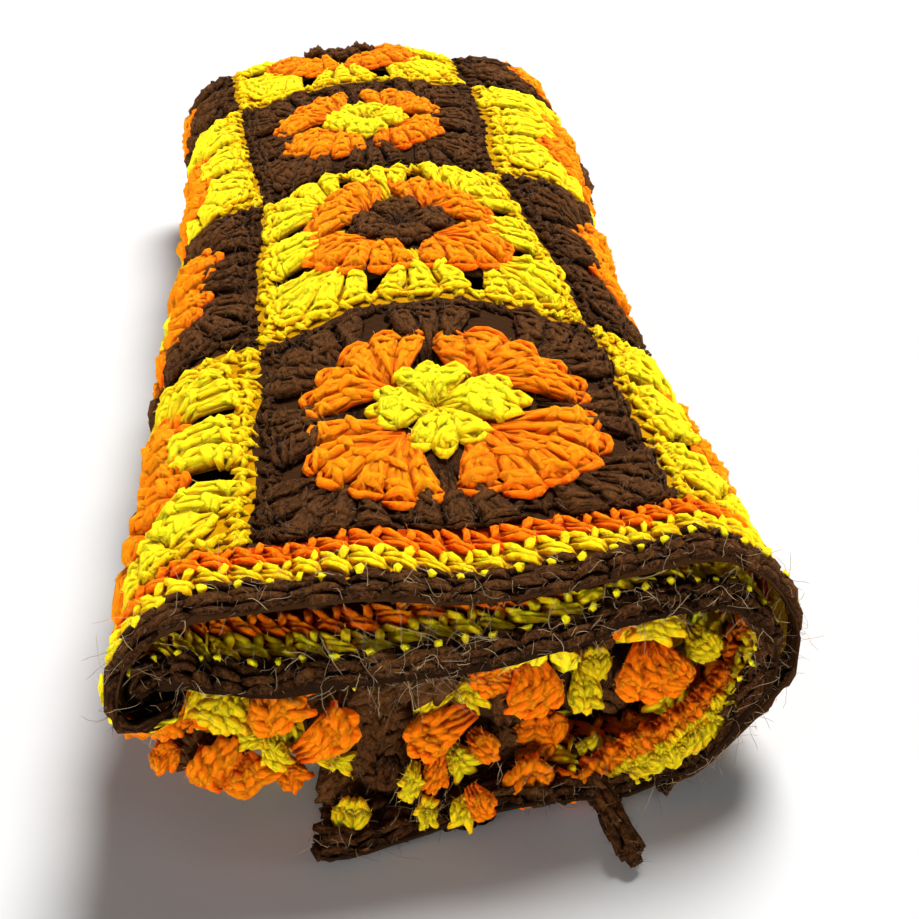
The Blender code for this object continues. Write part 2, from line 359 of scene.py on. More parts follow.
# Strands of yarn: a path in (sideways, forwards, height), and a radius at each point
def strandShape(path, radii, sides):
    path = np.array(path, float)
    radii = np.array(radii, float)[:, None]
    ahead = np.gradient(path, axis=0)
    ahead /= np.linalg.norm(ahead, axis=1, keepdims=True)
    upward = np.array((0.0, 0.0, 1.0)) - ahead[:, 2:3] * ahead
    upward /= np.linalg.norm(upward, axis=1, keepdims=True)
    sideways = np.cross(ahead, upward)
    angle = np.arange(sides) * 2 * math.pi / sides
    cosine, sine = np.cos(angle)[None, :], np.sin(angle)[None, :]
    ring = cosine[..., None] * upward[:, None, :] + sine[..., None] * sideways[:, None, :]
    points = path[:, None, :] + radii[..., None] * ring
    run = np.concatenate([[0.0], np.cumsum(np.linalg.norm(np.diff(path, axis=0), axis=1))])
    run = np.broadcast_to(run[:, None], points.shape[:2])
    grain = np.stack([cosine * radii, sine * radii, run], axis=-1)
    count = len(path)
    i, j = np.meshgrid(np.arange(count - 1), np.arange(sides), indexing="ij")
    k = (j + 1) % sides
    quads = np.stack([i * sides + j, (i + 1) * sides + j, (i + 1) * sides + k, i * sides + k], axis=-1)
    quads = quads.reshape(-1, 4)
    caps = [list(range(sides)), [(count - 1) * sides + j for j in reversed(range(sides))]]
    points = points.reshape(-1, 3)
    # the signed volume tells whether the faces point out
    corners = points[quads]
    volume = np.einsum("ij,ij->", corners[:, 0], np.cross(corners[:, 1], corners[:, 2]))
    volume += np.einsum("ij,ij->", corners[:, 0], np.cross(corners[:, 2], corners[:, 3]))
    if volume < 0:
        quads, caps = quads[:, ::-1], [cap[::-1] for cap in caps]
    return points, grain.reshape(-1, 3), quads, caps, path[-1, 1]


# The rise over a cluster: how far past its head it ends, how early it peaks, how its sides fall
rising = {"past": 1.12, "peak": 0.85, "sides": 0.55}


class Yarn:
    # collects strands of one piece, as flat places, and makes its mesh;
    # a frame, which is an origin and three axes, puts them outside the roll's own surface
    def __init__(self, name):
        self.name, self.frame, self.count = name, None, 0
        self.flat, self.height, self.grain, self.tone, self.quads, self.caps = ([] for _ in range(6))

    def add(self, shape, places, directions, lengths, face, tones,
            widths=1.0, heights=1.0, lifts=0.0, mound=None, warp=None):
        # each copy of the shape starts at a place, runs in a direction and has a length
        points, grain, quads, caps, span = shape
        places, directions = np.asarray(places, float), np.asarray(directions, float)
        copies = len(places)
        if not copies:
            return
        lengths, widths, heights, lifts, tones = (
            np.broadcast_to(np.asarray(v, float), (copies,)) for v in (lengths, widths, heights, lifts, tones))
        sideways = np.stack([-directions[:, 1], directions[:, 0]], axis=1) * (-face)
        t = points[None, :, 0] * widths[:, None]
        s = points[None, :, 1] / span * lengths[:, None]
        h = points[None, :, 2] * heights[:, None] + lifts[:, None]
        uv = places[:, None, :] + t[..., None] * sideways[:, None, :] + s[..., None] * directions[:, None, :]
        if mound is not None:
            # a rounded rise over each cluster, from its foot along its axis
            foot, axis, (length, half, rise) = mound[:, :2], mound[:, 2:4], mound[:, 4:].T
            off = uv - foot[:, None, :]
            ahead = (off * axis[:, None, :]).sum(-1) / length[:, None]
            aside = (off[..., 0] * -axis[:, None, 1] + off[..., 1] * axis[:, None, 0]) / half[:, None]
            q = np.clip(ahead, 0.0, rising["past"]) / rising["past"]
            fall = np.clip(1 - rising["sides"] * aside ** 2, 0.0, 1.0)
            h = h + rise[:, None] * np.sin(math.pi * q ** rising["peak"]) * fall
        if warp is not None:
            uv = warp(uv)
        flat = np.concatenate([uv, (h * face)[..., None]], axis=-1).reshape(-1, 3)
        flat = wobble(flat, 1.0 if self.frame is None else hand["calmer"])
        # the height off the cloth, which the yarn's colour uses for painted shade in the hollows
        self.height.append(np.abs(flat[:, 2]))
        if self.frame is not None:
            origin, axes = self.frame
            flat = origin + flat @ axes
        self.flat.append(flat)
        offset = chance.uniform(0, 400, (copies, 1, 1)) * np.array((0, 0, 1.0))
        self.grain.append((grain[None] + offset).reshape(-1, 3))
        self.tone.append(np.repeat(tones, len(points)))
        first = self.count + np.arange(copies) * len(points)
        # a negative width mirrors a copy, so its faces turn round
        for mirrored in (False, True):
            some = first[(widths < 0) == mirrored]
            if len(some):
                these = (quads[None] + some[:, None, None]).reshape(-1, 4)
                self.quads.append(these[:, ::-1] if mirrored else these)
                for cap in caps:
                    cap = np.array(cap[::-1] if mirrored else cap)
                    self.caps.append(cap[None] + some[:, None])
        self.count += copies * len(points)

    def mesh(self):
        flat = np.concatenate(self.flat)
        if self.frame is None:
            points = inRoll(flat)
        else:
            points = np.maximum(flat, (-np.inf, -np.inf, blanket["lowest"])) * mm
        return makeMesh(
            self.name, points, self.quads, self.caps,
            {"grain": np.concatenate(self.grain)},
            {"tone": np.concatenate(self.tone), "height": np.concatenate(self.height)},
        )


# The hand's unevenness: two waves sideways, bumps, scatter, and how much of it a frame gets
hand = {"wave": 0.8, "drift": 0.7, "bumps": 0.16, "scatter": 0.2, "calmer": 0.4}


def wobble(flat, much):
    across, along = flat[:, 0], flat[:, 1]
    wave, drift = hand["wave"], hand["drift"]
    moved = flat.copy()
    moved[:, 0] += wave * np.sin(across / 6.3 + 1.1 * np.sin(along / 9.0)) + drift * np.sin(along / 8.1 + 2.0)
    moved[:, 1] += wave * np.sin(along / 5.7 + 1.3 * np.sin(across / 8.0)) + drift * np.sin(across / 7.3 + 0.7)
    bumps = np.sin(across / 2.3 + 2 * np.sin(along / 5.1)) * np.sin(along / 2.1 + 2 * np.sin(across / 4.7))
    moved[:, 2] *= 1 + hand["bumps"] * bumps
    return flat + (moved - flat + chance.normal(0, hand["scatter"], moved.shape)) * much


def makeMesh(name, points, quads, caps, vectors, values):
    data = bpy.data.meshes.new(name)
    groups = list(quads) + list(caps)
    loops = np.concatenate([g.ravel() for g in groups])
    totals = np.concatenate([np.full(len(g), g.shape[1]) for g in groups])
    starts = np.concatenate([[0], np.cumsum(totals)[:-1]])
    data.vertices.add(len(points))
    data.vertices.foreach_set("co", points.astype(np.float32).ravel())
    data.loops.add(len(loops))
    data.loops.foreach_set("vertex_index", loops.astype(np.int32))
    data.polygons.add(len(totals))
    data.polygons.foreach_set("loop_start", starts.astype(np.int32))
    data.update(calc_edges=True)
    data.shade_smooth()
    for key, value in vectors.items():
        layer = data.attributes.new(key, "FLOAT_VECTOR", "POINT")
        layer.data.foreach_set("vector", value.astype(np.float32).ravel())
    for key, value in values.items():
        layer = data.attributes.new(key, "FLOAT", "POINT")
        layer.data.foreach_set("value", value.astype(np.float32))
    data.validate()
    made = bpy.data.objects.new(name, data)
    bpy.context.scene.collection.objects.link(made)
    triangles = sum(len(g) * (g.shape[1] - 2) for g in groups)
    print(name, triangles, "triangles")
    return made


# Double crochet: two strands that cross, two wraps round them, the two legs of the top loop,
# and a filler for the rest of the yarn, flattened under them
postRadii = (0.9, 1.15, 1.35, 1.45, 1.45, 1.1)
legRadii = (0.9, 1.25, 1.4, 1.25, 0.9)
stitch = {  # path, radii, sides
    "postA": ([(-0.9, -2.5, 0.2), (-1.3, 2.5, 1.0), (-0.2, 6.5, 1.9),
               (1.6, 10.0, 1.3), (2.2, 13.5, 1.8), (1.0, 17.0, 1.3)], postRadii, 5),
    "postB": ([(0.9, -2.5, 0.0), (1.4, 2.5, 0.8), (0.4, 6.5, 0.6),
               (-1.7, 10.0, 1.8), (-2.4, 13.5, 1.5), (-1.4, 17.0, 1.0)], postRadii, 5),
    "wrap": ([(-3.9, 0.0, 0.3), (-2.3, 1.1, 1.9), (0.4, 2.3, 2.6), (2.9, 3.4, 2.0), (4.3, 4.4, 0.3)],
             (0.9, 1.3, 1.5, 1.3, 0.9), 5),
    "legA": ([(0.4, -1.0, 0.5), (2.3, 1.8, 1.6), (3.1, 4.8, 2.2), (2.2, 7.8, 1.8), (0.2, 10.6, 0.5)],
             legRadii, 5),
    "legB": ([(-0.6, -1.0, 0.3), (-1.6, 1.8, 1.8), (-1.9, 4.8, 2.3), (-1.1, 7.8, 1.9), (0.0, 10.6, 0.5)],
             legRadii, 5),
    "filler": ([(0.0, -2.0, 0.1), (0.0, 3.5, 0.9), (0.0, 9.0, 1.6),
                (0.0, 14.0, 1.8), (0.0, 17.6, 1.0), (0.0, 19.4, 0.0)], (1.6, 2.8, 4.0, 4.9, 3.8, 1.6), 6),
}
strands = {name: strandShape(*rule) for name, rule in stitch.items()}

# Clusters of a granny square, on its upper side; the other sides are turned copies
rounds = (
    {
        "bases": ((0.0, 2.6),), "tops": ((0.0, 18.5),),
        "foot": 1.5, "head": 7.2, "arch": 2.6, "rise": 2.2,
    },
    {
        "bases": ((-12.0, 15.0), (12.0, 15.0)), "tops": ((-16.2, 38.5), (16.2, 38.5)),
        "foot": 3.2, "head": 9.6, "arch": 3.4, "rise": 2.6,
    },
    {
        "bases": ((-28.0, 29.0), (0.0, 27.0), (28.0, 29.0)), "tops": ((-37.0, 54.5), (0.0, 54.5), (37.0, 54.5)),
        "foot": 4.4, "head": 10.8, "arch": 1.8, "rise": 1.6,
    },
)
cluster = {
    # painted shade: the filler lies under the posts, so it gets half the tone and a deeper colour
    "fillerTone": 0.5,
    "fillerHeight": 0.37,
    "loop": 0.9,  # a top loop's length, as a share of the cluster's spread
    "shortestLoop": 6.0,
    "loopBack": 1.5,
    "wraps": ((0.68, 1.0), (0.36, 0.75)),  # place along the posts, and width
    "wrapLength": 4.4,
    "aside": 5,  # how far its rise reaches past its heads
}
# How much the middle of a square is off centre, and how far its sides are pulled out:
# shift across and along, then the pulls at low across, high across, low along, high along
offCentre = {(1, 0): (4.0, -7.0, 9.5, 0.5, 9.0, 0.0)}
offByChance = 1.3


def quarterTurn(points, turns):
    for _ in range(turns):
        points = np.stack([-points[..., 1], points[..., 0]], axis=-1)
    return points


def pull(share):
    # nothing at the middle and the edge, and the whole of it at two thirds of the way
    return 6.75 * share * share * (1 - share)


def squareWarp(i, j):
    centre = np.array((edgingWidth + (i + 0.5) * squareSize, edgingWidth + (j + 0.5) * squareSize))
    amounts = offCentre.get((i, j))
    if amounts is None:
        amounts = tuple(chance.normal(0, offByChance, 6))
    shift = np.array(amounts[:2])

    def warp(places):
        local = places - centre
        share = np.clip(np.abs(local) / (squareSize / 2), 0.0, 1.0)
        moved = local + shift * (1 - share.max(axis=-1, keepdims=True) ** 2)
        for axis in (0, 1):
            lowSide, highSide = amounts[2 + 2 * axis], amounts[3 + 2 * axis]
            side = np.where(local[..., axis] < 0, -lowSide, highSide)
            moved[..., axis] += side * pull(share[..., axis])
        return moved + centre

    return centre, warp


def addRound(yarn, rule, centre, warp, keep):
    feet, heads, mounds, shades, puffs = [], [], [], [], []
    for side in range(4):
        for base, top in zip(rule["bases"], rule["tops"]):
            jitter = chance.normal(0, 0.8, 4)
            base, top = np.array(base), np.array(top) + jitter[:2]
            grow = 1 + 0.07 * jitter[2]
            rise = rule["rise"] + 0.5 * jitter[3]
            axis = top - base
            length = np.linalg.norm(axis)
            axis = axis / length
            aside = np.array((axis[1], -axis[0]))
            for post in (-1, 0, 1):
                wander = chance.normal(0, 0.35, 2)
                foot = base + aside * post * rule["foot"]
                head = top + aside * post * rule["head"] * grow - axis * rule["arch"] * abs(post) + wander
                feet.append(quarterTurn(foot, side) + centre)
                heads.append(quarterTurn(head, side) + centre)
            sizes = [length, rule["head"] + cluster["aside"], rise]
            mounds += [np.concatenate([quarterTurn(base, side) + centre, quarterTurn(axis, side), sizes])] * 3
            shades += [chance.uniform(0, 1)] * 3
            puffs += [chance.uniform(0.8, 1.05)] * 3
    parts = [np.array(part) for part in (feet, heads, mounds, shades, puffs)]
    if keep is not None:
        middles = (parts[0][1::3] + parts[1][1::3]) / 2
        kept = np.repeat(keep(middles), 3)
        parts = [part[kept] for part in parts]
    if len(parts[0]):
        addClusters(yarn, *parts, rule["head"], outerFace, warp)


def addClusters(yarn, feet, heads, mounds, shades, puffs, spread, face, warp=None, wide=1.0):
    # clusters of three stitches, from their feet to their heads
    runs = heads - feet
    lengths = np.linalg.norm(runs, axis=1)
    directions = runs / lengths[:, None]
    lean = np.where(chance.random(len(feet)) < 0.5, -wide, wide)
    common = {"mound": mounds, "warp": warp}
    # the filler, under the posts, is painted deeper as painted shade
    yarn.add(strands["filler"], feet, directions, lengths, face, shades * cluster["fillerTone"], abs(lean),
             puffs * cluster["fillerHeight"], **common)
    common["heights"] = puffs
    for post in ("postA", "postB"):
        yarn.add(strands[post], feet, directions, lengths, face, shades, lean, **common)
    # the top loops run along each cluster's head, and round its two ends
    first, middle, last = heads[0::3], heads[1::3], heads[2::3]
    rows = np.stack([middle - first, last - first, last - middle], axis=1).reshape(-1, 2)
    rows /= np.linalg.norm(rows, axis=1)[:, None]
    loop = max(spread * cluster["loop"], cluster["shortestLoop"] * wide)
    begin = heads - rows * loop / 2 - directions * cluster["loopBack"]
    for leg in ("legA", "legB"):
        yarn.add(strands[leg], begin, rows, loop, face, shades, **common)
    for share, narrowing in cluster["wraps"]:
        places = feet + runs * (share + chance.normal(0, 0.03, (len(feet), 1)))
        yarn.add(strands["wrap"], places, directions, cluster["wrapLength"], face, shades, lean * narrowing,
                 **common)


# The joined edge of a square: pointed loops all round it, and the chain under them
seam = {
    "loops": 16,  # on each side
    "leg": strandShape(
        [(0.0, -1.0, 0.3), (0.7, 2.0, 1.5), (0.6, 5.0, 1.3), (0.0, 8.0, 0.0)], (0.8, 1.25, 1.2, 0.7), 4),
    "legs": ((-2.6, (0.45, 0.89)), (2.6, (-0.45, 0.89))),  # beside a loop's middle, and direction
    "legFrom": 53.0,  # from the square's centre
    "legLength": 7.4,
    "chainBack": 4.5,
    "chainFrom": 54.8,
    "chainLength": 9.4,
}


def addSeam(yarn, centre, keep):
    def placed(place, direction, side):
        place, direction = (quarterTurn(np.array(v), side) for v in (place, direction))
        return np.concatenate([place + centre, direction])

    step = squareSize / seam["loops"]
    legs, chain = [], []
    for side in range(4):
        for n in range(seam["loops"]):
            t = -squareSize / 2 + (n + 0.5) * step
            for offset, direction in seam["legs"]:
                legs.append(placed((t + offset, seam["legFrom"]), direction, side))
            chain.append(placed((t - seam["chainBack"], seam["chainFrom"]), (1.0, 0.0), side))
    legs, chain = np.array(legs), np.array(chain)
    if keep is not None:
        legs, chain = legs[keep(legs)], chain[keep(chain)]
    count = len(legs)
    lean = np.where(chance.random(count) < 0.5, -1.0, 1.0)
    yarn.add(seam["leg"], legs[:, :2], legs[:, 2:], seam["legLength"] * chance.uniform(0.85, 1.15, count),
             outerFace, chance.uniform(0, 1, count), lean, chance.uniform(0.7, 1.15, count))
    yarn.add(seam["leg"], chain[:, :2], chain[:, 2:], seam["chainLength"],
             outerFace, chance.uniform(0, 1, len(chain)), 1.0, 0.8)


yarnNames = (
    "yellow_centres", "brown_centres", "orange_rounds", "brown_rounds", "yellow_rounds",
    "yellow_seams", "brown_seams", "orange_edging", "yellow_edging", "brown_edging",
    "orange_gathers", "yellow_gathers", "brown_gathers")
yarns = {name: Yarn(name) for name in yarnNames}


def addSquare(i, j, keep=None):
    # yellow and brown change places from one square to the next
    middle, outer = ("yellow", "brown") if (i + j) % 2 == 1 else ("brown", "yellow")
    centre, warp = squareWarp(i, j)
    for name, rule in zip((middle + "_centres", "orange_rounds", outer + "_rounds"), rounds):
        addRound(yarns[name], rule, centre, warp, keep)
    addSeam(yarns[outer + "_seams"], centre, keep)


# The whole squares that show, and the part that shows of some others: just inside the open end,
# at the fold of the far end, and at the flap's edge
shown = {"openEnd": 52, "fold": 32, "flap": 800}
for i in (0, 1, 2):
    for j in (0, 1, 2, 3):
        addSquare(i, j)
for i in (3, 4, 5):
    addSquare(i, 0, lambda places: places[:, 1] < shown["openEnd"])
    addSquare(i, 3, lambda places: np.abs(places[:, 1] - flatLength / 2) < shown["fold"])
for i in (0, 1):
    addSquare(i, 6, lambda places: places[:, 1] > shown["flap"])

# Single crochet of the edging: two arms that reach into the row before, and the strands of its body
edgeStitch = {
    "pitch": squareSize / 15,
    "rowDepth": 7.8,
    "selvedge": 1.6,  # from the cloth's edge to the outermost row
    "ropes": ((6.8, 0.0), (4.6, 0.3), (2.4, 0.3), (0.4, -0.8)),  # back from a row's outer side, and lift
    "ropeSlide": -3.8,
    "ropeLength": 8.6,
    "dotLength": 1.8,
    "strands": {  # path, radii, sides
        "longArm": ([(-4.4, -2.0, 0.2), (-2.9, 0.0, 1.5), (-1.0, 2.2, 2.0), (0.8, 4.2, 1.4)],
                    (0.8, 1.1, 1.2, 0.9), 5),
        "shortArm": ([(2.6, -2.6, 0.2), (2.8, -0.4, 1.7), (2.4, 2.0, 2.2), (1.4, 4.4, 1.4)],
                     (0.8, 1.15, 1.2, 0.9), 5),
        "upperBody": ([(-3.8, 1.6, 0.4), (-1.6, 3.0, 1.6), (0.8, 4.2, 2.0), (3.0, 5.4, 1.6), (4.2, 6.6, 0.3)],
                      (0.8, 1.1, 1.25, 1.1, 0.8), 5),
        "middleBody": ([(-4.0, 3.4, 0.4), (-1.8, 4.8, 1.5), (0.6, 6.0, 1.9), (2.7, 7.2, 1.5), (3.8, 8.4, 0.3)],
                       (0.8, 1.1, 1.25, 1.1, 0.7), 5),
        "rope": ([(-0.3, -0.8, 0.3), (0.5, 1.4, 1.4), (0.7, 3.8, 1.8), (0.4, 6.2, 1.4), (-0.2, 8.6, 0.3)],
                 (0.9, 1.25, 1.35, 1.25, 0.9), 5),
        "dot": ([(0.0, -0.2, 0.6), (0.0, 0.8, 1.9), (0.0, 1.8, 1.9), (0.0, 2.8, 0.6)],
                (0.5, 1.0, 1.0, 0.5), 5),
    },
}
edgeShapes = {name: strandShape(*rule) for name, rule in edgeStitch["strands"].items()}
rope, ropeLength = edgeShapes["rope"], edgeStitch["ropeLength"]


def addEdging(row, yarn, corner, outward, along, reach, face, dots=None, plain=False):
    # one row of one side: corner is where the side starts, outward points off the blanket;
    # the outermost row, and a plain one, is ropes that run along it
    pitch, depth = edgeStitch["pitch"], edgeStitch["rowDepth"]
    outward, along, corner = (np.array(v, float) for v in (outward, along, corner))
    corner = corner - outward * edgeStitch["selvedge"]
    count = int(round((reach[1] - reach[0]) / pitch))
    t = reach[0] + (np.arange(count) + 0.5) * pitch + chance.normal(0, 0.35, count)
    # row 0 is the outermost, and each row starts where the one before it ends
    scatter = outward * chance.normal(0, 0.3, count)[:, None]
    start = corner + along * t[:, None] - outward * (depth * (row + 1)) + scatter
    ones = np.ones((count, 1))
    tones, puff = chance.uniform(0, 1, count), chance.uniform(0.85, 1.15, count)
    out, aside = ones * outward, ones * along
    if row and not plain:
        for name in ("longArm", "shortArm", "upperBody", "middleBody"):
            yarn.add(edgeShapes[name], start, out, edgeShapes[name][4], face, tones, -1.0, puff)
        return
    for back, lift in edgeStitch["ropes"]:
        slide = along * chance.normal(edgeStitch["ropeSlide"], 0.8, (count, 1))
        lean = np.where(chance.random(count) < 0.5, -1.0, 1.0)
        leaning = aside + outward * chance.normal(0, 0.1, (count, 1))
        yarn.add(rope, start + outward * (depth - back) + slide, leaning,
                 ropeLength, face, chance.uniform(0, 1, count), lean, puff, lift)
    if dots is not None:
        dots.add(edgeShapes["dot"], start + outward * 1.0 + along * 1.6, out,
                 edgeStitch["dotLength"], face, tones, 1.2, 0.8, 1.7)


cornerEnd, flapEnd = 32, 56
outerCorner, innerCorner = (0, 0), (0, flatLength)
edgingSides = (  # corner, outward, along, from and to, face
    (outerCorner, (0, -1), (1, 0), (cornerEnd, 420), outerFace),
    (innerCorner, (0, 1), (1, 0), (0, 400), innerFace),
    (innerCorner, (0, 1), (1, 0), (flapEnd, 300), outerFace),
    (outerCorner, (-1, 0), (0, 1), (cornerEnd, 200), outerFace),
    (innerCorner, (-1, 0), (0, -1), (flapEnd, 200), outerFace),
    # the far end, which shows from behind
    (outerCorner, (-1, 0), (0, 1), (383, 447), outerFace),
    (innerCorner, (-1, 0), (0, -1), (367, 447), outerFace),
)
flapSides = (  # the loose corner of the flap is worked in brown only
    (innerCorner, (0, 1), (1, 0), (0, flapEnd), outerFace),
    (innerCorner, (-1, 0), (0, -1), (24, flapEnd), outerFace),
)
for row, colour in enumerate(("brown", "yellow", "orange")):
    dots = yarns["yellow_edging"] if row == 0 else None
    for side in edgingSides:
        addEdging(row, yarns[colour + "_edging"], *side, dots)
    for side in flapSides:
        addEdging(row, yarns["brown_edging"], *side, None, True)
print("squares and edging worked")


# The inner turns are gathered in the open end, so their clusters stand there as small fans
gathers = {
    "towardsViewer": (0.02, -0.8, 0.6),
    "tilt": 0.12,  # by chance, as is the turn of the fans in a row
    "rowTurn": 14,
    "wide": (0.45, 0.9, 16.0),  # narrowest and widest stitches, and the fan's width that makes them whole
    "rise": (3.0, 0.18),  # the highest, and as a share of the fan's length
    "fans": (  # colour, pixel of its middle in the photograph, place along Y, turn, length, width
        ("brown", (340, 690), -190, -100, 20, 20),
        ("brown", (378, 712), -192, -70, 20, 18),
        ("brown", (352, 735), -196, -120, 16, 16),
        ("brown", (392, 745), -194, -95, 16, 18),
        ("brown", (342, 775), -202, -80, 14, 18),
        ("brown", (378, 782), -202, -110, 14, 16),
        ("brown", (175, 705), -190, -90, 16, 12),
        ("brown", (188, 745), -196, -80, 14, 12),
        ("brown", (225, 735), -194, -80, 14, 16),
        ("brown", (255, 690), -188, -80, 14, 20),
        ("brown", (410, 672), -184, -80, 14, 20),
        ("brown", (445, 668), -184, -90, 14, 16),
        ("brown", (555, 645), -184, -90, 14, 18),
        ("brown", (585, 635), -184, -80, 14, 16),
        ("brown", (490, 722), -192, -70, 14, 18),
        ("brown", (592, 720), -190, -90, 14, 18),
        ("brown", (620, 712), -188, -95, 14, 16),
        ("brown", (480, 760), -200, -90, 14, 12),
        ("brown", (690, 680), -180, -90, 16, 16),
        ("brown", (460, 812), -213, -90, 15, 17),
        ("brown", (420, 795), -207, -95, 16, 14),
        ("brown", (500, 738), -199, -80, 10, 14),
        ("brown", (512, 700), -190, -80, 12, 20),
        ("brown", (610, 690), -190, -80, 12, 16),
        ("brown", (650, 712), -190, -80, 10, 16),
        ("orange", (128, 718), -192, -85, 9, 6),
        ("orange", (164, 714), -201, -100, 13, 10),
        ("orange", (164, 754), -202, -90, 6, 8),
        ("yellow", (206, 688), -196, -70, 7, 11),
        ("yellow", (224, 708), -200, -115, 12, 15),
        ("orange", (302, 680), -198, -50, 9, 10),
        ("orange", (278, 707), -203, -80, 13, 17),
        ("yellow", (252, 737), -200, 170, 7, 6),
        ("yellow", (275, 750), -204, -80, 9, 7),
        ("orange", (216, 763), -204, 115, 11, 16),
        ("orange", (248, 774), -206, -70, 9, 14),
        ("orange", (291, 772), -203, -65, 8, 8),
        ("orange", (331, 731), -204, 28, 18, 13),
        ("yellow", (336, 762), -205, -20, 4, 5),
        ("orange", (445, 653), -192, -95, 6, 12),
        ("orange", (488, 655), -193, -60, 8, 8),
        ("yellow", (521, 646), -195, 38, 13, 8),
        ("orange", (490, 681), -197, 175, 12, 9),
        ("orange", (532, 688), -199, -84, 15, 17),
        ("yellow", (594, 664), -192, -90, 6, 10),
        ("yellow", (581, 690), -196, -92, 13, 10),
        ("orange", (617, 622), -192, 195, 11, 6),
        ("yellow", (655, 628), -193, -95, 8, 15),
        ("yellow", (700, 645), -191, -60, 9, 11),
        ("yellow", (667, 699), -196, -105, 10, 13),
        ("orange", (645, 674), -199, -95, 15, 21),
        ("orange", (672, 668), -199, -60, 10, 9),
        ("orange", (732, 660), -187, -80, 11, 10),
        ("orange", (538, 728), -199, -90, 7, 17),
        ("orange", (532, 750), -202, -90, 6, 13),
        ("yellow", (580, 752), -204, 15, 12, 8),
        ("orange", (628, 728), -198, 30, 9, 6),
        ("yellow", (432, 697), -196, 185, 12, 8),
        ("yellow", (468, 695), -196, -95, 7, 10),
        ("orange", (436, 733), -204, 205, 18, 12),
        ("orange", (480, 746), -205, -60, 8, 8),
        ("yellow", (459, 761), -207, -60, 9, 8),
        ("orange", (434, 770), -209, -100, 11, 7),
        ("yellow", (410, 780), -211, -110, 8, 5),
        ("orange", (526, 780), -212, 95, 11, 15),
        ("orange", (478, 800), -218, -65, 8, 8),
        ("yellow", (463, 812), -219, -120, 7, 8),
        ("yellow", (426, 812), -216, -100, 4, 5),
        ("orange", (570, 783), -213, 100, 7, 11),
        ("yellow", (352, 815), -214, -100, 5, 11),
        ("brown", (385, 689), -210, -90, 8, 18),
        ("brown", (425, 683), -210, -90, 8, 18),
    ),
    # the coloured rows just inside the right rim: pixels and places along Y at the ends and the middle
    "rows": (  # colour, pixels, places, how many, turn, length, width
        ("orange", ((588, 776), (690, 718), (764, 645)), (-212, -204, -190), 11, -60, 8, 13),
        ("yellow", ((612, 780), (700, 732), (774, 652)), (-214, -208, -195), 12, -60, 6, 9),
    ),
}


def addFan(out, colour, spot, forward, turn, length, width):
    yarn = yarns[colour + "_gathers"]
    tilted = out + chance.normal(0, gathers["tilt"], 3)
    tilted /= np.linalg.norm(tilted)
    right = np.cross((0.0, 0.6, 0.8), tilted)
    right /= np.linalg.norm(right)
    yarn.frame = (seenAt(spot, forward), np.stack([right, np.cross(tilted, right), tilted]))
    axis = np.array((math.cos(math.radians(turn)), math.sin(math.radians(turn))))
    aside = np.array((axis[1], -axis[0]))
    base, top = -axis * length / 2, axis * (length / 2 - 1.5)
    narrowest, widest, wholeAt = gathers["wide"]
    wide = min(max(width / wholeAt, narrowest), widest)
    spread = max(width / 2 - 4.2 * wide, 0.8)
    feet = np.array([base + aside * post * width * 0.13 for post in (-1, 0, 1)])
    heads = np.array([top + aside * post * spread - axis * abs(post) * length * 0.1 for post in (-1, 0, 1)])
    highest, share = gathers["rise"]
    rise = min(highest, length * share)
    mounds = np.tile(np.concatenate([base - axis * 2.0, axis, [length + 3.0, width / 2 + 4, rise]]), (3, 1))
    shades = np.full(3, chance.uniform(0, 1))
    heads = heads + chance.normal(0, 0.3, heads.shape)
    addClusters(yarn, feet, heads, mounds, shades, np.ones(3), spread, innerFace, None, wide)


def addGathers():
    out = np.array(gathers["towardsViewer"])
    out /= np.linalg.norm(out)
    fans = list(gathers["fans"])
    for colour, spots, forwards, count, turn, length, width in gathers["rows"]:
        for share in np.linspace(0, 2, count):
            px, py = (np.interp(share, (0, 1, 2), values) for values in zip(*spots))
            turned = turn + chance.normal(0, gathers["rowTurn"])
            fans.append((colour, (px, py), np.interp(share, (0, 1, 2), forwards), turned, length, width))
    for fan in fans:
        addFan(out, *fan)


addGathers()

# The other corner has rolled itself into a finger: ropes all round it, one behind the other
finger = {
    "from": (30.5, -202.0, 8.0),
    "to": (37.0, -242.0, 4.0),
    "step": 5.5,
    "radius": 2.5,
    "ropes": 8,
    "twist": 0.35,  # radians at each step
    "lastRope": 5.5,
}


def addFinger():
    start, end = np.array(finger["from"]), np.array(finger["to"])
    length = np.linalg.norm(end - start)
    ahead = (end - start) / length
    side = np.cross(ahead, (0.0, 0.0, 1.0))
    side /= np.linalg.norm(side)
    yarn = yarns["brown_gathers"]
    yarn.frame = (start, np.stack([side, ahead, np.cross(side, ahead)]))
    steps = np.arange(int(length / finger["step"]))
    thick = finger["radius"] * np.sqrt(1 - 0.8 * (steps / (len(steps) - 1)) ** 4)
    lengths = np.where(steps < len(steps) - 1, ropeLength, finger["lastRope"])
    for n in range(finger["ropes"]):
        turn = 2 * math.pi * n / finger["ropes"] + finger["twist"] * steps
        places = np.stack([thick * np.cos(turn), finger["step"] * steps], axis=1)
        leaning = np.tile((0.0, 1.0), (len(steps), 1)) + chance.normal(0, 0.12, (len(steps), 2))
        leaning /= np.linalg.norm(leaning, axis=1, keepdims=True)
        yarn.add(rope, places, leaning, lengths, innerFace, chance.uniform(0, 1, len(steps)),
                 1.0, 0.8, thick * np.sin(turn) - 1.0)


addFinger()
print("open end worked")


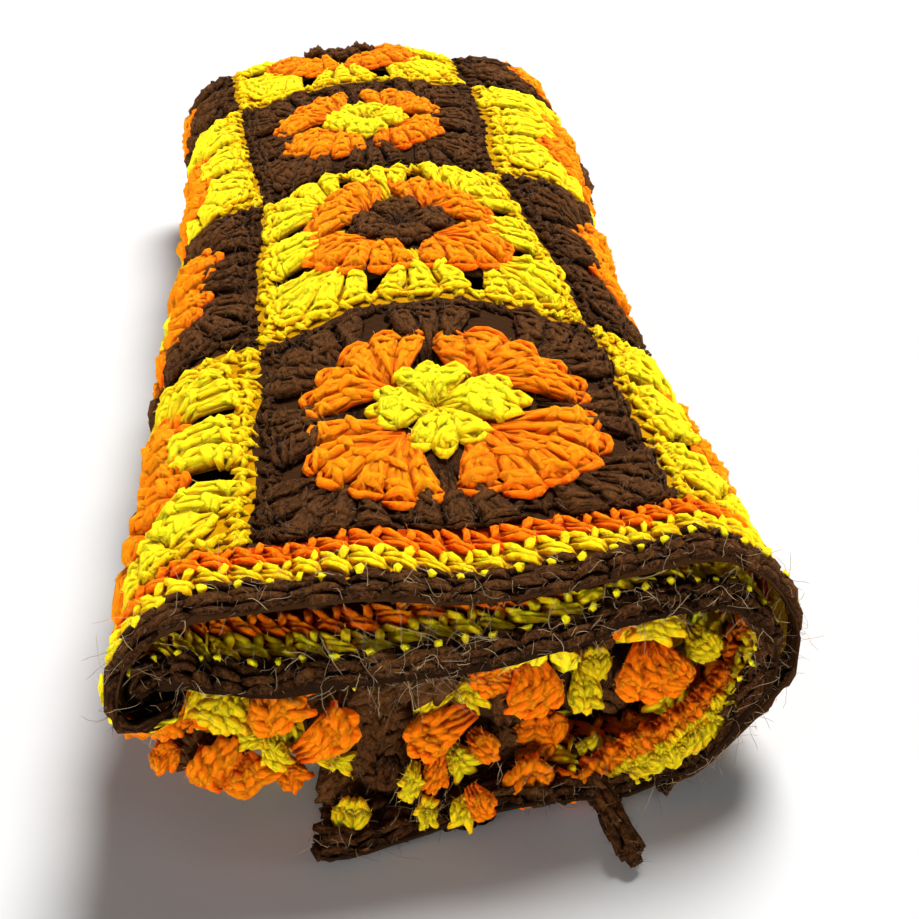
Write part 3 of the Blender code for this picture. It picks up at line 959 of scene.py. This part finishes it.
# Materials
class Socket:
    # a node socket, or a number, with Python's operators as Math nodes
    def __init__(self, tree, value):
        self.tree, self.value = tree, value

    def maths(self, operation, other=None, clamp=False):
        node = self.tree.nodes.new("ShaderNodeMath")
        node.operation = operation
        node.use_clamp = clamp
        for i, value in enumerate((self, other)):
            value = value.value if isinstance(value, Socket) else value
            if value is None:
                continue
            if isinstance(value, (int, float)):
                node.inputs[i].default_value = value
            else:
                self.tree.links.new(value, node.inputs[i])
        return Socket(self.tree, node.outputs[0])

    def __add__(self, other):
        return self.maths("ADD", other)

    def __mul__(self, other):
        return self.maths("MULTIPLY", other)

    def __sub__(self, other):
        return self.maths("SUBTRACT", other)

    def __rsub__(self, other):
        return (self * -1.0) + other

    __radd__ = __add__
    __rmul__ = __mul__


class Shader:
    def __init__(self, name):
        self.material = bpy.data.materials.new(name)
        self.material.use_nodes = True
        self.tree = self.material.node_tree
        self.principled = self.tree.nodes["Principled BSDF"]

    def node(self, kind, settings, inputs, output=0):
        made = self.tree.nodes.new(kind)
        for key, value in settings.items():
            setattr(made, key, value)
        for key, value in inputs.items():
            self.set(made.inputs[key], value)
        return Socket(self.tree, made.outputs[output])

    def attribute(self, name, output):
        # output 1 is a vector, and 2 a number
        return self.node("ShaderNodeAttribute", {"attribute_name": name}, {}, output)

    def part(self, vector, axis):
        return self.node("ShaderNodeSeparateXYZ", {}, {"Vector": vector}, axis)

    def mixed(self, share, first, second):
        return self.node("ShaderNodeMix", {"data_type": "RGBA"}, {0: share, 6: first, 7: second}, 2)

    def set(self, socket, value):
        value = value.value if isinstance(value, Socket) else value
        if isinstance(value, bpy.types.NodeSocket):
            self.tree.links.new(value, socket)
        else:
            socket.default_value = value

    def into(self, name, value):
        self.set(self.principled.inputs[name], value)


def yarnMaterial(name, deep, light, soft, fuzzy, drawn=0.22):
    s = Shader(name)
    grain, tone, height = s.attribute("grain", 1), s.attribute("tone", 2), s.attribute("height", 2)
    stretched = s.node("ShaderNodeMapping", {}, {"Vector": grain, "Scale": (1.0, 1.0, drawn)})
    fibres = s.node("ShaderNodeTexNoise", {}, {"Vector": stretched, "Scale": 1.5, "Detail": 5.0, "Roughness": 0.8})
    uneven = s.node("ShaderNodeTexNoise", {}, {"Vector": grain, "Scale": 0.35, "Detail": 2.0})
    # the plies run round the strand as it goes
    turned = s.part(grain, 1).maths("ARCTAN2", s.part(grain, 0))
    plies = (turned * 2.0 + s.part(grain, 2) * 1.9 + (uneven - 0.5) * 3.0).maths("SINE")
    # painted shade and light: yarn lying low, in hollows and under other strands, takes the deep colour, and yarn
    # standing high the lit colour
    lit = s.node("ShaderNodeMapRange", {}, {
        "Value": height, "From Min": 0.6, "From Max": 5.0, "To Min": 0.0, "To Max": 0.8})
    share = lit + tone * 0.16 + (fibres - 0.5) * fuzzy + (uneven - 0.5) * 0.4 + plies * 0.1
    s.into("Base Color", s.mixed(share.maths("ADD", 0.0, clamp=True), deep, light))
    s.into("Roughness", 0.9)
    s.into("Specular IOR Level", 0.05)
    s.into("Subsurface Weight", soft)
    s.into("Subsurface Scale", 0.003)
    s.into("Subsurface Radius", (1.0, 0.5, 0.1))
    rough = fibres + plies * 0.2
    s.into("Normal", s.node("ShaderNodeBump", {}, {"Height": rough, "Strength": 1.0, "Distance": 0.0016}))
    return s.material


finishes = {  # deep and lit colour, mixed by the yarn's height as painted shade in the hollows and painted light on top; how much light goes through, how speckled, how drawn out
    "yellow": ((0.92, 0.38, 0.0, 1), (1.0, 0.84, 0.012, 1), 0.5, 1.3),
    "orange": ((0.94, 0.07, 0.0, 1), (1.0, 0.26, 0.002, 1), 0.5, 1.3),
    "brown": ((0.018, 0.006, 0.001, 1), (0.130, 0.048, 0.012, 1), 0.0, 4.0, 0.8),
    # the yarn inside the open end is lit by the yarn round it, so it looks deeper
    "inner yellow": ((0.80, 0.30, 0.0, 1), (1.0, 0.58, 0.006, 1), 0.6, 0.8),
    "inner orange": ((0.92, 0.05, 0.0, 1), (1.0, 0.19, 0.001, 1), 0.6, 0.8),
}
finishOf = {"yellow_gathers": "inner yellow", "orange_gathers": "inner orange"}
yarnMaterials = {name: yarnMaterial(name + " yarn", *finish) for name, finish in finishes.items()}


# The ground of the cloth: a thin sheet on the folds, with the holes between the clusters; it stands for the yarn
# deep under the stitches, and its dark colours are painted shade
groundChart = {
    "cells": 17,  # in a square
    "edgeCells": 4,
    "thick": 1.0,
    "ragged": 0.9,
    # holes: distance from the square's middle, the larger from and to, the smaller from and to
    "cornerHoles": (12, 18, 12, 18),
    "yellowHoles": ((24, 36, -1, 6), (42, 54, 12, 24)),  # only in the squares with a yellow edge
    "yellowRound": 40,  # the last round begins here
    "rows": ((24, 0.5), (18, 1.0), (9, 0.0)),  # the edging's rows: up to this far from the edge, and colour
}


def chartPlace(across, along):
    # distances from the square's middle, and whether its last round is yellow
    x, y = (np.abs((value - edgingWidth) % squareSize - squareSize / 2) for value in (across, along))
    number = np.floor((across - edgingWidth) / squareSize) + np.floor((along - edgingWidth) / squareSize)
    return np.maximum(x, y), np.minimum(x, y), number % 2 == 0


def within(large, small, limits):
    return (large > limits[0]) & (large < limits[1]) & (small > limits[2]) & (small < limits[3])


def groundFaces(u, v):
    # which cells of the sheet there are
    u, v = (u[:-1, :-1] + u[1:, 1:]) / 2, (v[:-1, :-1] + v[1:, 1:]) / 2
    inside = (u > edgingWidth) & (u < flatWidth - edgingWidth) & (v > edgingWidth) & (v < flatLength / 2)
    large, small, yellow = chartPlace(u, v)
    holes = within(large, small, groundChart["cornerHoles"]) & (np.sin(u * 0.7) * np.sin(v * 0.9) > -0.2)
    for limits in groundChart["yellowHoles"]:
        holes |= within(large, small, limits) & yellow
    rolledUp = (u < cornerEnd) & (v < cornerEnd - 4)  # into the finger
    return ~(holes & inside) & ~rolledUp


def groundSheet():
    cells, ragged, half = groundChart["cells"], groundChart["ragged"], groundChart["thick"] / 2
    edge = np.linspace(0, edgingWidth, groundChart["edgeCells"] + 1)[:-1]
    across, along = (
        np.concatenate([edge, edgingWidth + squareSize / cells * np.arange(squares * cells + 1), size - edge[::-1]])
        for squares, size in ((blanket["squaresAcross"], flatWidth), (blanket["squaresAlong"], flatLength)))
    u, v = np.meshgrid(across, along, indexing="ij")
    faces = groundFaces(u, v)
    # the holes have uneven outlines
    u, v = (
        w + np.where((w > edgingWidth) & (w < size - edgingWidth), chance.normal(0, ragged, w.shape), 0.0)
        for w, size in ((u, flatWidth), (v, flatLength)))
    top = np.arange(u.size).reshape(u.shape)
    bottom = top + u.size
    i, j = np.nonzero(faces)
    quads = [np.stack([top[i, j], top[i + 1, j], top[i + 1, j + 1], top[i, j + 1]], axis=1),
             np.stack([bottom[i, j], bottom[i, j + 1], bottom[i + 1, j + 1], bottom[i + 1, j]], axis=1)]
    filled = np.pad(faces, 1)
    corners = ((0, 0), (1, 0), (1, 1), (0, 1))
    for n, (di, dj) in enumerate(((0, -1), (1, 0), (0, 1), (-1, 0))):
        # a wall on this side of each cell that has no neighbour there
        bare = ~filled[i + 1 + di, j + 1 + dj]
        (ai, aj), (bi, bj) = corners[n], corners[(n + 1) % 4]
        a, b = (i[bare] + ai, j[bare] + aj), (i[bare] + bi, j[bare] + bj)
        quads.append(np.stack([top[b], top[a], bottom[a], bottom[b]], axis=1))
    quads = np.concatenate(quads)
    flat = np.concatenate([
        np.stack([u.ravel(), v.ravel(), np.full(u.size, height)], axis=1) for height in (half, -half)])
    used = np.zeros(len(flat), bool)
    used[quads.ravel()] = True
    quads = (np.cumsum(used) - 1)[quads]
    flat = flat[used]
    made = makeMesh("ground_sheet", inRoll(flat), [quads], [], {"flatPlace": flat}, {})

    # chart of colours: 0 brown, 0.5 orange, 1 yellow, which the material paints far darker as painted shade; the
    # gaps show the brown yarn behind, darkened as painted shade, except in the last round of the yellow-edged
    # squares
    centre = flat[quads].mean(axis=1)[:, :2]
    large, _, yellow = chartPlace(*centre.T)
    colours = np.where((large > groundChart["yellowRound"]) & yellow, 1.0, 0.0)
    fromEdge = np.minimum(centre, (flatWidth, flatLength) - centre).min(axis=1)
    for reach, colour in groundChart["rows"]:
        colours = np.where(fromEdge > reach, colours, colour)
    layer = made.data.attributes.new("chart", "FLOAT", "FACE")
    layer.data.foreach_set("value", colours.astype(np.float32))
    return made


def groundMaterial():
    s = Shader("ground of the cloth")
    chart, place = s.attribute("chart", 2), s.attribute("flatPlace", 1)
    noise = s.node("ShaderNodeTexNoise", {}, {"Vector": place, "Scale": 0.45, "Detail": 4.0})
    # painted shade: the chart's brown, orange and yellow, far darker than the yarn, as the ground lies deep under
    # the stitches
    colour = s.mixed(chart.maths("GREATER_THAN", 0.25), (0.034, 0.013, 0.004, 1), (0.40, 0.035, 0.0, 1))
    colour = s.mixed(chart.maths("GREATER_THAN", 0.75), colour, (0.42, 0.20, 0.0, 1))
    # the inner half lies in the dark under the holes
    inner = s.part(place, 1).maths("GREATER_THAN", flatLength / 2)
    s.into("Base Color", s.mixed(noise * 0.4 + inner * 0.6, colour, (0.008, 0.004, 0.002, 1)))
    s.into("Specular IOR Level", 0.02)
    s.into("Roughness", 0.95)
    s.into("Normal", s.node("ShaderNodeBump", {}, {"Height": noise, "Strength": 0.8, "Distance": 0.001}))
    return s.material


ground = groundSheet()
ground.data.materials.append(groundMaterial())
pieces = []
for name, yarn in yarns.items():
    piece = yarn.mesh()
    piece.data.materials.append(yarnMaterials[finishOf.get(name, name.split("_")[0])])
    pieces.append(piece)


# Fuzz and stray hairs: thin closed slivers that stand off the strands
fuzz = {  # yarn it grows on, how many, shortest and longest, radius, steps, curl, dark and light colour
    "yellow_fuzz": (
        "yellow", 8000, (0.9, 2.4), 0.07, 1, 0.0, (0.75, 0.5, 0.01, 1), (0.98, 0.85, 0.12, 1)),
    "orange_fuzz": (
        "orange", 8000, (0.9, 2.4), 0.07, 1, 0.0, (0.8, 0.14, 0.005, 1), (0.98, 0.38, 0.03, 1)),
    "brown_fuzz": (
        "brown", 18000, (1.2, 3.6), 0.08, 1, 0.0, (0.03, 0.014, 0.006, 1), (0.20, 0.10, 0.04, 1)),
    "stray_hairs": (
        "brown_edging", 1500, (4.0, 14.0), 0.06, 7, 0.85, (0.09, 0.055, 0.025, 1), (0.38, 0.26, 0.12, 1)),
    "hair_tuft": (
        "brown_edging", 80, (12.0, 22.0), 0.06, 9, 1.0, (0.06, 0.035, 0.015, 1), (0.32, 0.21, 0.09, 1)),
}
hair = {
    "ceiling": 0.0915,
    "lying": 0.3,  # long hairs lie along the surface
    "standing": 0.6,  # short ones stand up
    "scatter": 0.6,
    "clinging": 0.16,
    "falling": 0.08,
}
tuft = {"place": (-0.022, -0.208, 0.050), "reach": 0.009, "spread": (1.6, 1.0, 1.0)}


def hairPiece(name, roots, normals, lengths, radius, steps, curl):
    # each hair is a bent three-sided sliver: rings of three, and a point at its end
    count = len(roots)
    upright = hair["lying"] if steps > 2 else hair["standing"]
    ahead = normals * upright + chance.normal(0, hair["scatter"], (count, 3))
    ahead /= np.linalg.norm(ahead, axis=1, keepdims=True)
    place, rings = roots.copy(), []
    bend = chance.normal(0, 1.0, (count, 3)) * curl
    for step in range(steps):
        side = np.cross(ahead, np.array((0.31, 0.52, 0.79)))
        side /= np.linalg.norm(side, axis=1, keepdims=True) + 1e-9
        other = np.cross(ahead, side)
        for k in range(3):
            turn = 2 * math.pi * k / 3
            rings.append(place + radius * mm * (math.cos(turn) * side + math.sin(turn) * other))
        place = place + ahead * (lengths / steps)[:, None] * mm
        ahead = ahead + bend + chance.normal(0, 0.4 * curl + 0.01, (count, 3)) - normals * hair["clinging"]
        ahead[:, 2] -= hair["falling"]
        ahead /= np.linalg.norm(ahead, axis=1, keepdims=True)
    rings.append(place)
    points = np.stack(rings, axis=1)
    points[..., 2] = np.clip(points[..., 2], blanket["lowest"] * mm, hair["ceiling"])
    tip = 3 * steps
    base = np.arange(count)[:, None] * (tip + 1)
    quads, caps = [], [base + np.array([[2, 1, 0]])]
    for k in range(3):
        n = (k + 1) % 3
        for step in range(steps - 1):
            quads.append(base + np.array([[3 * step + k, 3 * step + n, 3 * step + 3 + n, 3 * step + 3 + k]]))
        caps.append(base + np.array([[tip - 3 + k, tip - 3 + n, tip]]))
    tone = np.repeat(chance.uniform(0, 1, count), tip + 1)
    return makeMesh(name, points.reshape(-1, 3), quads, caps, {}, {"tone": tone})


def growFuzz(name, growsOn, count, span, radius, steps, curl):
    places, normals = [], []
    for mesh in (piece.data for piece in pieces if piece.name.startswith(growsOn)):
        for rows, values, key in ((places, mesh.vertices, "co"), (normals, mesh.vertex_normals, "vector")):
            got = np.zeros(len(values) * 3, np.float32)
            values.foreach_get(key, got)
            rows.append(got.reshape(-1, 3))
    places, normals = np.concatenate(places).astype(float), np.concatenate(normals).astype(float)
    # thicker towards the open end and the top, where it is seen closest
    weight = np.clip(1.3 - (places[:, 1] + 0.24) / 0.4, 0.25, 1.3) * (normals[:, 2] + 1.3)
    if name == "hair_tuft":
        off = (places - np.array(tuft["place"])) / (tuft["reach"] * np.array(tuft["spread"]))
        weight = weight * np.exp(-(off ** 2).sum(axis=1)) + 1e-9
    chosen = chance.choice(len(places), count, replace=False, p=weight / weight.sum())
    lengths = chance.uniform(*span, count)
    return hairPiece(name, places[chosen], normals[chosen], lengths, radius, steps, curl)


def hairMaterial(name, dark, light):
    s = Shader(name)
    s.into("Base Color", s.mixed(s.attribute("tone", 2), dark, light))
    s.into("Roughness", 0.6)
    return s.material


hairs = []
for name, (*growing, dark, light) in fuzz.items():
    piece = growFuzz(name, *growing)
    piece.data.materials.append(hairMaterial(name.replace("_", " "), dark, light))
    hairs.append(piece)
pieces += hairs


# Floor and lights
stage = {"floor": (0.39, 0.39, 0.39, 1), "floorSize": 8.0, "surrounding": 0.16}
lamps = (  # name, towards the lamp, strength, softness
    ("top back", (0.36, 0.60, 0.95), 8.4, 25.0),
    ("left", (-1.0, -0.25, 0.05), 3.4, 20.0),
    ("right", (1.0, -0.2, 0.06), 2.4, 20.0),
    ("front", (-0.1, -1.0, 0.03), 6.6, 20.0),
)


def makeStage():
    bpy.ops.object.select_all(action="DESELECT")
    bpy.ops.mesh.primitive_plane_add(size=stage["floorSize"], location=(0, 0, 0))
    floor = bpy.context.object
    floor.name = "floor"
    s = Shader("pale floor")
    s.into("Base Color", stage["floor"])
    s.into("Roughness", 0.9)
    floor.data.materials.append(s.material)
    world = bpy.data.worlds.new("studio")
    world.use_nodes = True
    background = world.node_tree.nodes["Background"]
    background.inputs[0].default_value = (1, 1, 1, 1)
    background.inputs[1].default_value = stage["surrounding"]
    bpy.context.scene.world = world
    for name, towards, strength, angle in lamps:
        data = bpy.data.lights.new(name, "SUN")
        data.energy = strength
        data.angle = math.radians(angle)
        lamp = bpy.data.objects.new(name, data)
        lamp.rotation_mode = "QUATERNION"
        lamp.rotation_quaternion = Vector(towards).to_track_quat("Z", "Y")
        bpy.context.scene.collection.objects.link(lamp)


makeStage()
bpy.context.scene.view_settings.view_transform = "Standard"
print("floor and lights set")

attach(ground, "root")
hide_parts("squares")
for piece in pieces:
    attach(piece, "root")
    if piece.name.endswith("edging"):
        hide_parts("edging")
